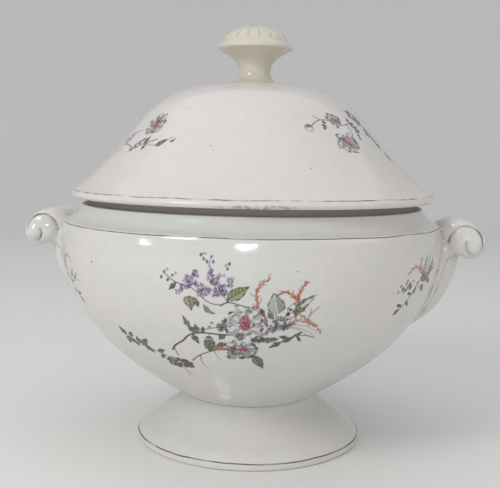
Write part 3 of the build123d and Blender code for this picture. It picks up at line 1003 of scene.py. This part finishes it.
# ---- materials
class Graph:
    """Adds and joins the nodes of one material."""

    def __init__(self, name):
        self.material = bpy.data.materials.new(name)
        self.material.use_nodes = True
        self.tree = self.material.node_tree
        self.shader = self.tree.nodes["Principled BSDF"]

    def node(self, kind, values=None, **settings):
        made = self.tree.nodes.new("ShaderNode" + kind)
        for key, value in settings.items():
            setattr(made, key, value)
        for key, value in (values or {}).items():
            self.feed(made.inputs[key], value)
        return made

    def feed(self, socket, value):
        if isinstance(value, bpy.types.NodeSocket):
            self.tree.links.new(value, socket)
        else:
            socket.default_value = value

    def math(self, operation, a, b=0.0):
        return self.node("Math", {0: a, 1: b}, operation=operation).outputs[0]

    def times(self, a, b):
        return self.math("MULTIPLY", a, b)

    def between(self, value, low, high, start=0.0, end=1.0):
        """Smooth step from start to end as value goes from low to high."""
        values = {"Value": value, "From Min": low, "From Max": high, "To Min": start, "To Max": end}
        return self.node("MapRange", values, interpolation_type="SMOOTHSTEP").outputs[0]

    def mix(self, factor, a, b):
        return self.node("Mix", {0: factor, 6: a, 7: b}, data_type="RGBA").outputs[2]

    def place(self, stretch=(1.0, 1.0, 1.0)):
        """Object coordinates, in metres, stretched along the axes."""
        at = self.node("TexCoord").outputs["Object"]
        return self.node("Mapping", {"Vector": at, "Scale": stretch}).outputs[0]

    def noise(self, scale, detail=2.0, stretch=(1.0, 1.0, 1.0)):
        values = {"Vector": self.place(stretch), "Scale": scale, "Detail": detail}
        return self.node("TexNoise", values).outputs[0]

    def from_height(self, level):
        """Distance from a height above the table, in millimetres."""
        up = self.node("SeparateXYZ", {0: self.place()}).outputs[2]
        return self.math("ABSOLUTE", self.math("SUBTRACT", self.times(up, 1.0 / MM), level))

    def from_point(self, centre, stretch=(1.0, 1.0, 1.0)):
        """Distance in metres from a point in millimetres, in stretched space."""
        around = tuple(part * MM * factor for part, factor in zip(centre, stretch))
        values = {0: self.place(stretch), 1: around}
        return self.node("VectorMath", values, operation="DISTANCE").outputs["Value"]


def rgb(red, green, blue):
    return (red, green, blue, 1.0)


def specks(graph, spacing, size, share):
    """Sparse round specks: 1 inside a speck, 0 elsewhere."""
    cells = graph.node("TexVoronoi", {"Vector": graph.place(), "Scale": 1.0 / (spacing * MM)})
    chosen = graph.node("SeparateXYZ", {0: cells.outputs["Color"]}).outputs[0]
    pick = graph.between(chosen, 1.0 - share, 1.0 - share + 0.01)
    near = graph.between(cells.outputs["Distance"], size / spacing, 0.4 * size / spacing)
    return graph.times(pick, near)


def worn_line(graph, level, width, wear):
    """A thin painted ring at one height that has rubbed away in places."""
    wobble = graph.between(graph.noise(30.0), 0.3, 0.7, -0.25, 0.25)
    ring = graph.between(graph.from_height(graph.math("SUBTRACT", level, wobble)), width, width * 0.45)
    left = graph.between(graph.noise(55.0, 4.0), wear, wear + 0.30)
    return graph.times(ring, left)


def smudge(graph, centre, long, tall):
    """A patchy stain about a point, longer than it is tall; sizes in millimetres."""
    away = graph.from_point(centre, (1.0, 1.0, long / tall))
    patch = graph.between(away, long * MM, 0.6 * long * MM)
    broken = graph.between(graph.noise(260.0, 5.0), 0.40, 0.62)
    return graph.times(patch, broken)


def pit(graph, azimuth, radius, height, size):
    """A dark pinhole where the glaze missed; azimuth in degrees from -Y towards +X."""
    turn = math.radians(azimuth)
    away = graph.from_point((radius * math.sin(turn), -radius * math.cos(turn), height))
    wobble = graph.between(graph.noise(900.0), 0.3, 0.7, 0.7, 1.3)
    return graph.math("LESS_THAN", away, graph.times(wobble, size * MM))


def bare_and_shade_ring_mask(graph, level, reach, full, inside):
    """1 on a ring about a height and outside a radius, in millimetres, 0 elsewhere."""
    from_axis = graph.node("VectorMath", {0: graph.place((1.0, 1.0, 0.0))}, operation="LENGTH")
    outer = graph.math("GREATER_THAN", from_axis.outputs["Value"], inside * MM)
    return graph.times(graph.between(graph.from_height(level), reach, full), outer)


def glaze_body(graph, colour, tint):
    """Two close shades in clouds, with a fine darker mottle."""
    cloud = graph.between(graph.noise(11.0, 3.0), 0.38, 0.66)
    body = graph.mix(cloud, rgb(*colour), rgb(*tint))
    fine = graph.between(graph.noise(150.0, 4.0), 0.35, 0.7, 0.0, 0.16)
    return graph.mix(fine, body, rgb(*[0.86 * part for part in tint]))


def lay_paint(graph, body):
    """The spray's own colour, slightly stippled, over the glaze."""
    paint = graph.node("Attribute", attribute_name="paint")
    stipple = graph.between(graph.noise(1900.0, 1.0), 0.30, 0.60, 0.88, 1.0)
    cover = graph.times(paint.outputs["Alpha"], stipple)
    return graph.mix(cover, body, paint.outputs["Color"])


def lay_dirt(graph, body):
    """Brown settled in the hollows."""
    hollow = graph.node("Attribute", attribute_name="crevice").outputs["Fac"]
    patchy = graph.between(graph.noise(90.0, 4.0), 0.35, 0.68, 0.15, 0.85)
    return graph.mix(graph.times(hollow, patchy), body, rgb(*DIRT))


def glaze_relief(graph, spot):
    """Slow waves, fine orange peel and a dent at each speck."""
    waves = graph.noise(38.0, 2.0, (1.0, 1.0, 3.2))
    peel = graph.noise(260.0, 3.0)
    relief = graph.math("ADD", waves, graph.times(peel, 0.22))
    relief = graph.math("SUBTRACT", relief, graph.times(spot, 0.25))
    return graph.node("Bump", {"Height": relief, "Strength": 0.35, "Distance": 0.0005}).outputs[0]


def glaze(name, colour, tint, lines=(), stains=(), pits=(), painted=False, bare_and_shade=None):
    """Old glossy earthenware glaze: mottled, specked, stained in its hollows."""
    graph = Graph(name)
    body = glaze_body(graph, colour, tint)
    if painted:
        body = lay_paint(graph, body)
    for level, width, wear, stain in lines:
        body = graph.mix(worn_line(graph, level, width, wear), body, rgb(*stain))
    body = lay_dirt(graph, body)
    for stain in stains:
        body = graph.mix(graph.times(smudge(graph, *stain), 0.6), body, rgb(*STAIN))
    spot = specks(graph, spacing=6.0, size=0.42, share=0.08)
    for place in pits:
        spot = graph.math("MAXIMUM", spot, pit(graph, *place))
    body = graph.mix(graph.times(spot, 0.75), body, rgb(*SPECK))
    rough = graph.between(graph.noise(60.0, 5.0), 0.3, 0.75, 0.07, 0.16)
    rough = graph.math("ADD", rough, graph.times(spot, 0.3))
    # The ring's colour is the biscuit where the foot has no glaze, and painted shade on the lip under the
    # lid's flange; the added roughness is the glaze-free seat.
    if bare_and_shade:
        *ring, ring_colour = bare_and_shade
        bare_and_shade_mask = bare_and_shade_ring_mask(graph, *ring)
        body = graph.mix(bare_and_shade_mask, body, rgb(*ring_colour))
        rough = graph.math("ADD", rough, graph.times(bare_and_shade_mask, 0.55))
    graph.feed(graph.shader.inputs["Base Color"], body)
    graph.feed(graph.shader.inputs["Roughness"], rough)
    graph.shader.inputs["IOR"].default_value = 1.52
    graph.feed(graph.shader.inputs["Normal"], glaze_relief(graph, spot))
    return graph.material


def paper(name, colour):
    graph = Graph(name)
    graph.shader.inputs["Base Color"].default_value = rgb(*colour)
    graph.shader.inputs["Roughness"].default_value = 0.65
    return graph.material


# ---- floor, light and camera
def make_stage():
    """A pale floor that curves up all round, out of the way of every view."""
    flat = 1.6
    bend = 0.9
    curve = [(flat + bend * math.sin(t), bend - bend * math.cos(t)) for t in np.linspace(0, math.pi / 2, 16)]
    line = chain((0.0, 0.0), (0.5, 0.0), (1.1, 0.0), curve, (flat + bend, 1.5)) / MM
    floor = turned("floor", line, 96)
    floor.data.materials.append(paper("floor_paper", (0.82, 0.815, 0.80)))
    world = bpy.data.worlds.new("studio")
    world.use_nodes = True
    background = world.node_tree.nodes["Background"]
    background.inputs["Color"].default_value = (0.92, 0.95, 1.0, 1.0)
    background.inputs["Strength"].default_value = 0.47
    bpy.context.scene.world = world


def soft_light(name, place, size, power, colour=(1, 1, 1)):
    """An area light in metres and watts, aimed at the middle of the tureen."""
    middle = Vector((0.0, 0.0, 0.16))
    data = bpy.data.lights.new(name, "AREA")
    data.shape = "RECTANGLE"
    data.size, data.size_y = size
    data.energy = power
    data.color = colour
    lamp = bpy.data.objects.new(name, data)
    bpy.context.scene.collection.objects.link(lamp)
    lamp.location = place
    lamp.rotation_euler = (middle - lamp.location).to_track_quat("-Z", "Y").to_euler()


def make_lights():
    """Soft key, fill and top light, and small lamps that make the highlights."""
    soft_light("key", (-0.75, -1.05, 0.98), (0.45, 0.5), 7.8, (1.0, 0.975, 0.94))
    soft_light("fill", (1.4, -0.6, 0.7), (0.9, 0.9), 2.2, (1.0, 0.97, 0.94))
    soft_light("top", (0.0, 0.1, 1.6), (2.8, 2.2), 8.0, (1.0, 0.985, 0.97))
    for k in range(5):
        soft_light(f"glint_{k}", (0.03 + 0.045 * k, -1.5, 0.27 - 0.022 * (k % 2)), (0.030, 0.018), 0.55)
    soft_light("glint_left_1", (-1.10, -0.90, 0.235), (0.035, 0.02), 0.45)
    soft_light("glint_left_2", (-1.14, -0.84, 0.255), (0.02, 0.02), 0.3)


def make_camera():
    """Stands a little to the right of the front, looks slightly down and leans a little."""
    azimuth = math.radians(7.0)
    yaw = azimuth + math.radians(0.10355)
    pitch = math.radians(6.41)
    roll = math.radians(1.1)
    distance = 0.620
    height = 0.214
    data = bpy.data.cameras.new("camera")
    data.sensor_width = 36.0
    data.lens = 59.8
    data.clip_start = 0.05
    camera = bpy.data.objects.new("camera", data)
    bpy.context.scene.collection.objects.link(camera)
    place = Matrix.Translation((distance * math.sin(azimuth), -distance * math.cos(azimuth), height))
    aim = Matrix.Rotation(yaw, 4, "Z") @ Matrix.Rotation(math.pi / 2 - pitch, 4, "X")
    camera.matrix_world = place @ aim @ Matrix.Rotation(roll, 4, "Z")
    bpy.context.scene.camera = camera


# ---- finishes: colours in linear light
CREAM = (0.62, 0.585, 0.50)
IVORY = (0.585, 0.545, 0.455)
WARM_WHITE = (0.66, 0.635, 0.605)
COOL_WHITE = (0.61, 0.625, 0.605)
PINK_WHITE = (0.685, 0.635, 0.62)
BROWN = (0.16, 0.105, 0.07)
DIRT = (0.115, 0.085, 0.06)
SPECK = (0.10, 0.075, 0.055)
STAIN = (0.20, 0.17, 0.13)
# painted shade: the dark colour of the ring on the lip under the lid's flange
PAINTED_LIP_SHADE = (0.24, 0.215, 0.185)
BISCUIT = (0.52, 0.42, 0.30)

# (height, half width, wear, colour) of each thin painted line, in mm
SHOULDER_LINES = ((SHOULDER_Z + 0.2, 0.42, 0.18, BROWN),)
BEAD_LINES = ((LID_SEAT + 5.2, 0.42, 0.34, BROWN),)
BAND_LINES = ((FOOT_BAND + 0.3, 0.40, 0.24, BROWN),)
# (height, reach, full reach, inner radius, colour) of each ring left without glaze, in mm; the mouth ring's
# dark colour is painted shade under the lid's flange
MOUTH_BARE_AND_SHADE = (RECESS_Z + 2.2, 2.4, 2.0, RECESS_R - 0.8, PAINTED_LIP_SHADE)
FOOT_BARE = (0.0, 0.4, 0.1, 0.0, BISCUIT)
# (centre, half length, half height) of each stain, in mm
RIM_STAINS = (
    ((21.0, -130.6, LID_SEAT + 1.2), 30.0, 1.8),
    ((-24.0, 129.6, LID_SEAT + 1.4), 18.0, 1.4),
)
# (azimuth in degrees, radius, height, size) of each pinhole, in mm
BOWL_PITS = ((-40.2, 138.6, 141.7, 0.9), (-4.0, 139.1, 153.2, 0.45), (18.5, 138.8, 143.7, 0.5))
LID_PITS = (
    (-29.2, 76.4, 241.6, 0.5), (-9.2, 97.8, 216.6, 0.55), (-7.5, 100.1, 214.0, 0.4),
    (26.2, 109.3, 203.6, 0.55),
)

# ---- the scene
bpy.context.scene.view_settings.view_transform = "Standard"
make_stage()
make_lights()
make_camera()

on_bowl = dict(lines=SHOULDER_LINES, pits=BOWL_PITS)
on_lid = dict(lines=BEAD_LINES, pits=LID_PITS)
# bowl_glaze carries the lip ring, whose dark colour is painted shade under the lid's flange
bowl_glaze = glaze("bowl_glaze", WARM_WHITE, COOL_WHITE, bare_and_shade=MOUTH_BARE_AND_SHADE, **on_bowl)
bowl_painted = glaze("bowl_painted", WARM_WHITE, COOL_WHITE, painted=True, **on_bowl)
foot_glaze = glaze("foot_glaze", COOL_WHITE, WARM_WHITE, BAND_LINES, bare_and_shade=FOOT_BARE)
lid_glaze = glaze("lid_glaze", PINK_WHITE, WARM_WHITE, stains=RIM_STAINS, **on_lid)
lid_painted = glaze("lid_painted", PINK_WHITE, WARM_WHITE, painted=True, **on_lid)
handle_glaze = glaze("handle_glaze", WARM_WHITE, COOL_WHITE)
knob_glaze = glaze("knob_glaze", IVORY, CREAM)

handle_left, handle_right = make_handles()
knob = make_knob()
for piece, sharpest in ((handle_left, 0.15), (handle_right, 0.15), (knob, 0.75)):
    add_crevices(piece, sharpest)
bowl_sprays, lid_sprays = make_sprays()
PIECES = [
    (make_bowl(), "base", "body_glaze", bowl_glaze, "bowl"),
    (make_foot(), "base", "foot_glaze", foot_glaze, "pedestal_foot"),
    (handle_left, "base", "handle_glaze", handle_glaze, "handle_left"),
    (handle_right, "base", "handle_glaze", handle_glaze, "handle_right"),
    (make_lid(), "lid", "lid_glaze", lid_glaze, "lid_dome"),
    (knob, "lid", "knob_glaze", knob_glaze, "lid_knob"),
]
PIECES += [(spray, "base", "body_glaze", bowl_painted, "bowl") for spray in bowl_sprays]
PIECES += [(spray, "lid", "lid_glaze", lid_painted, "lid_dome") for spray in lid_sprays]
for piece, body, slot_name, finish, node in PIECES:
    piece.data.materials.append(finish)
    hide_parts(node)
    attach(piece, body)
